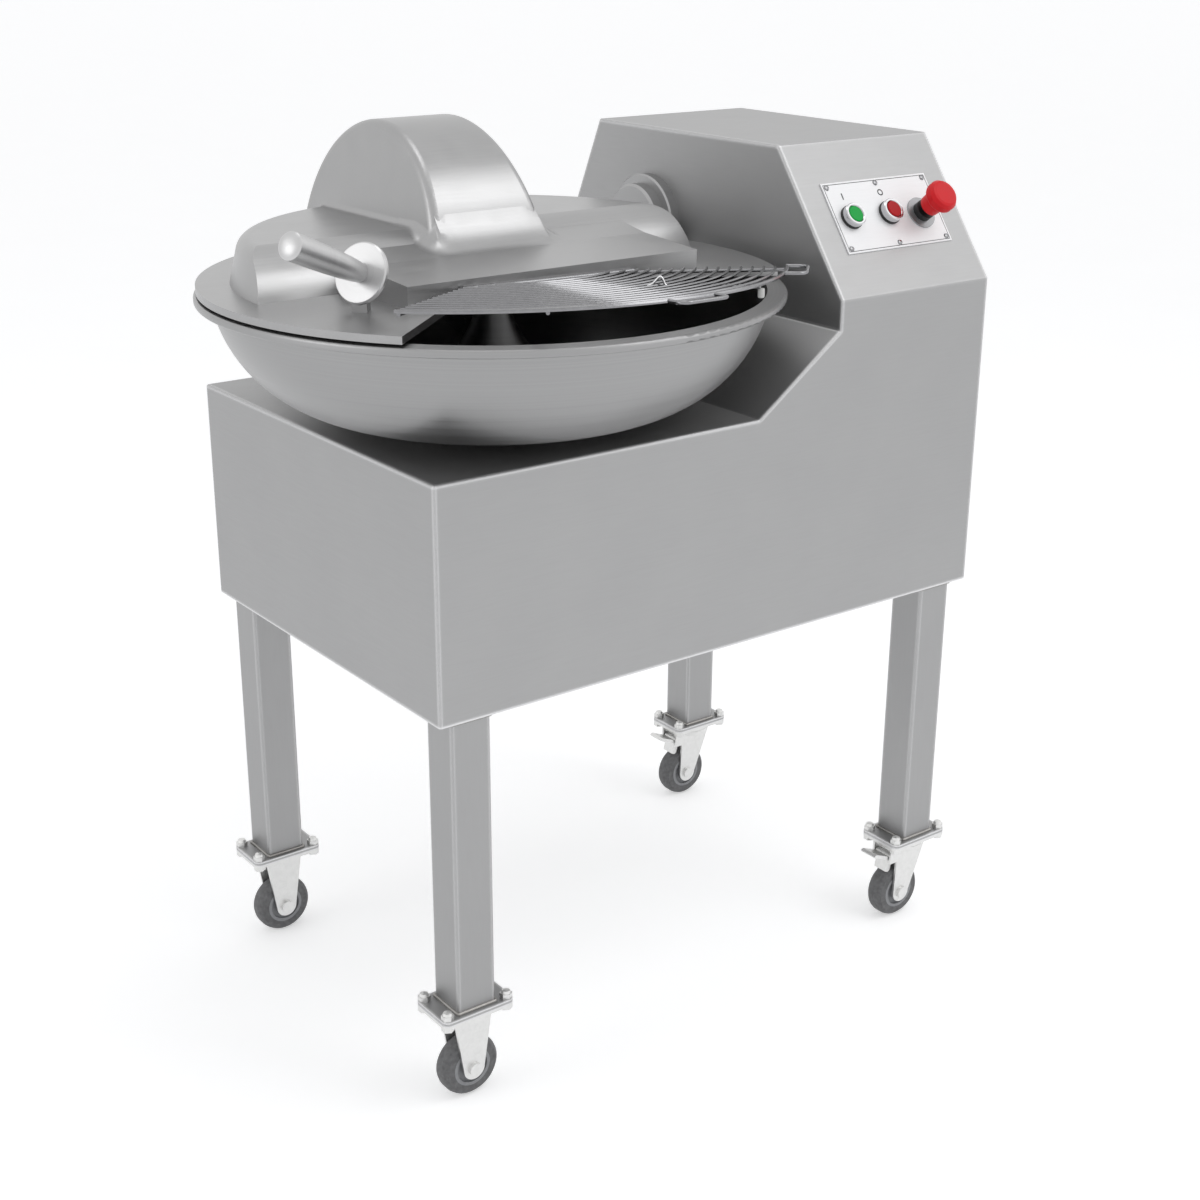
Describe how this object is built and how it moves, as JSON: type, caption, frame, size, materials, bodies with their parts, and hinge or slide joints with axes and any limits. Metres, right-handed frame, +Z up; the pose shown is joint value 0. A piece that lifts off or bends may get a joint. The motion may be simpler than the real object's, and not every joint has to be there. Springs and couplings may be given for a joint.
{
  "type": "bowl cutter",
  "caption": "Floor-standing meat and vegetable bowl cutter: turning ring bowl, hinged cast cover with wire guard, sickle knives, steel housing on legs with castors.",
  "frame": {"origin": "on the floor under the middle of the housing", "axes": "+X along the housing towards the raised console, -Y to the front, +Z up"},
  "size_m": [0.922, 0.7251, 1.068],
  "materials": {
    "stainless_sheet": "satin",
    "cast_aluminium": "satin",
    "turned_steel": "polished",
    "knife_steel": "ground",
    "guard_wire": "bright",
    "plated_steel": "zinc plated",
    "tyre_rubber": "matt",
    "grey_plastic": "matt",
    "black_plastic": "matt",
    "gear_iron": "cast",
    "gear_bronze": "machined",
    "motor_paint": "satin",
    "belt_rubber": "matt",
    "plate_aluminium": "fine brushed",
    "bezel_chrome": "bright",
    "green_cap": "gloss",
    "red_cap": "gloss"
  },
  "bodies": {
    "frame": {"cabinet_shell": "stainless_sheet", "base_plate": "stainless_sheet", "service_panel": "stainless_sheet", "housing_screws": "plated_steel", "castor_fasteners": "plated_steel", "rigid_fork_front": "plated_steel", "rigid_fork_rear": "plated_steel", "swivel_plate_front": "plated_steel", "swivel_plate_rear": "plated_steel", "gearbox_housing": "gear_iron", "bearing_housing": "cast_aluminium", "motor_body": "motor_paint", "knife_belt": "belt_rubber", "bowl_belt": "belt_rubber", "hinge_bracket": "stainless_sheet", "hinge_pin": "turned_steel", "control_plate": "plate_aluminium", "start_bezel": "bezel_chrome", "stop_bezel": "bezel_chrome", "estop_bezel": "grey_plastic", "contact_blocks": "black_plastic", "supply_gland": "black_plastic", "leg_front_left": "stainless_sheet", "leg_front_right": "stainless_sheet", "leg_rear_left": "stainless_sheet", "leg_rear_right": "stainless_sheet"},
    "bowl": {"bowl": "cast_aluminium", "bowl_spindle": "turned_steel", "worm_wheel": "gear_bronze"},
    "worm": {"worm_shaft": "turned_steel", "worm_pulley": "gear_iron"},
    "knives": {"knife_shaft": "turned_steel", "knife_blade_1": "knife_steel", "knife_blade_2": "knife_steel", "knife_blade_3": "knife_steel", "knife_nut": "turned_steel", "knife_pulley": "gear_iron"},
    "rotor": {"motor_shaft": "turned_steel", "motor_pulley": "gear_iron"},
    "cover": {"cover_casting": "cast_aluminium", "wire_guard": "guard_wire", "handle_post": "cast_aluminium", "handle_grip": "turned_steel", "bowl_scraper": "black_plastic"},
    "start_button": {"start_button": "green_cap"},
    "stop_button": {"stop_button": "red_cap"},
    "estop_stem": {"estop_stem": "black_plastic"},
    "estop_head": {"estop_head": "red_cap"},
    "rigid_wheel_front": {"rigid_tyre_front": "tyre_rubber", "rigid_hub_front": "grey_plastic"},
    "swivel_front": {"swivel_fork_front": "plated_steel"},
    "swivel_wheel_front": {"swivel_tyre_front": "tyre_rubber", "swivel_hub_front": "grey_plastic"},
    "pedal_front": {"brake_pedal_front": "plated_steel"},
    "rigid_wheel_rear": {"rigid_tyre_rear": "tyre_rubber", "rigid_hub_rear": "grey_plastic"},
    "swivel_rear": {"swivel_fork_rear": "plated_steel"},
    "swivel_wheel_rear": {"swivel_tyre_rear": "tyre_rubber", "swivel_hub_rear": "grey_plastic"},
    "pedal_rear": {"brake_pedal_rear": "plated_steel"}
  },
  "joints": [
    {"name": "knife_spin", "type": "hinge", "parent": "frame", "child": "knives", "pos_m": [0, 0.098, 0.917], "axis": [1, 0, 0], "continuous": true},
    {"name": "motor_spin", "type": "hinge", "parent": "frame", "child": "rotor", "pos_m": [0, 0.095, 0.592], "axis": [1, 0, 0], "continuous": true},
    {"name": "worm_spin", "type": "hinge", "parent": "frame", "child": "worm", "pos_m": [0, -0.142, 0.64], "axis": [1, 0, 0], "continuous": true},
    {"name": "bowl_spin", "type": "hinge", "parent": "frame", "child": "bowl", "pos_m": [-0.194, -0.062, 0], "axis": [0, 0, 1], "continuous": true},
    {"name": "cover_hinge", "type": "hinge", "parent": "frame", "child": "cover", "pos_m": [-0.194, 0.298, 0.905], "axis": [-1, 0, 0], "range_deg": [0, 80]},
    {"name": "start_push", "type": "slide", "parent": "frame", "child": "start_button", "axis": [0, 0.8053, -0.5929], "range_m": [0, 0.004], "stiffness_N_per_m": 300, "springref_m": -0.002},
    {"name": "stop_push", "type": "slide", "parent": "frame", "child": "stop_button", "axis": [0, 0.8053, -0.5929], "range_m": [0, 0.004], "stiffness_N_per_m": 300, "springref_m": -0.002},
    {"name": "estop_push", "type": "slide", "parent": "frame", "child": "estop_stem", "axis": [0, 0.8053, -0.5929], "range_m": [0, 0.005], "stiffness_N_per_m": 400, "springref_m": -0.003},
    {"name": "estop_twist", "type": "hinge", "parent": "estop_stem", "child": "estop_head", "pos_m": [0.332, -0.21978, 0.96136], "axis": [0, -0.8053, 0.5929], "range_deg": [0, 45], "stiffness_Nm_per_rad": 0.02},
    {"name": "rigid_wheel_spin_front", "type": "hinge", "parent": "frame", "child": "rigid_wheel_front", "pos_m": [-0.358, -0.23, 0.0375], "axis": [0, 1, 0], "continuous": true},
    {"name": "swivel_turn_front", "type": "hinge", "parent": "frame", "child": "swivel_front", "pos_m": [0.35, -0.23, 0], "axis": [0, 0, 1], "continuous": true},
    {"name": "swivel_wheel_spin_front", "type": "hinge", "parent": "swivel_front", "child": "swivel_wheel_front", "pos_m": [0.335, -0.23, 0.0375], "axis": [0, 1, 0], "continuous": true},
    {"name": "brake_front", "type": "hinge", "parent": "swivel_front", "child": "pedal_front", "pos_m": [0.318, -0.23, 0.0937], "axis": [0, -1, 0], "range_deg": [0, 10]},
    {"name": "rigid_wheel_spin_rear", "type": "hinge", "parent": "frame", "child": "rigid_wheel_rear", "pos_m": [-0.358, 0.23, 0.0375], "axis": [0, 1, 0], "continuous": true},
    {"name": "swivel_turn_rear", "type": "hinge", "parent": "frame", "child": "swivel_rear", "pos_m": [0.35, 0.23, 0], "axis": [0, 0, 1], "continuous": true},
    {"name": "swivel_wheel_spin_rear", "type": "hinge", "parent": "swivel_rear", "child": "swivel_wheel_rear", "pos_m": [0.335, 0.23, 0.0375], "axis": [0, 1, 0], "continuous": true},
    {"name": "brake_rear", "type": "hinge", "parent": "swivel_rear", "child": "pedal_rear", "pos_m": [0.318, 0.23, 0.0937], "axis": [0, -1, 0], "range_deg": [0, 10]}
  ],
  "couplings": [
    {"joint": "motor_spin", "follows": "knife_spin", "ratio": 0.84615},
    {"joint": "worm_spin", "follows": "knife_spin", "ratio": 0.49254},
    {"joint": "bowl_spin", "follows": "knife_spin", "ratio": -0.016418}
  ]
}
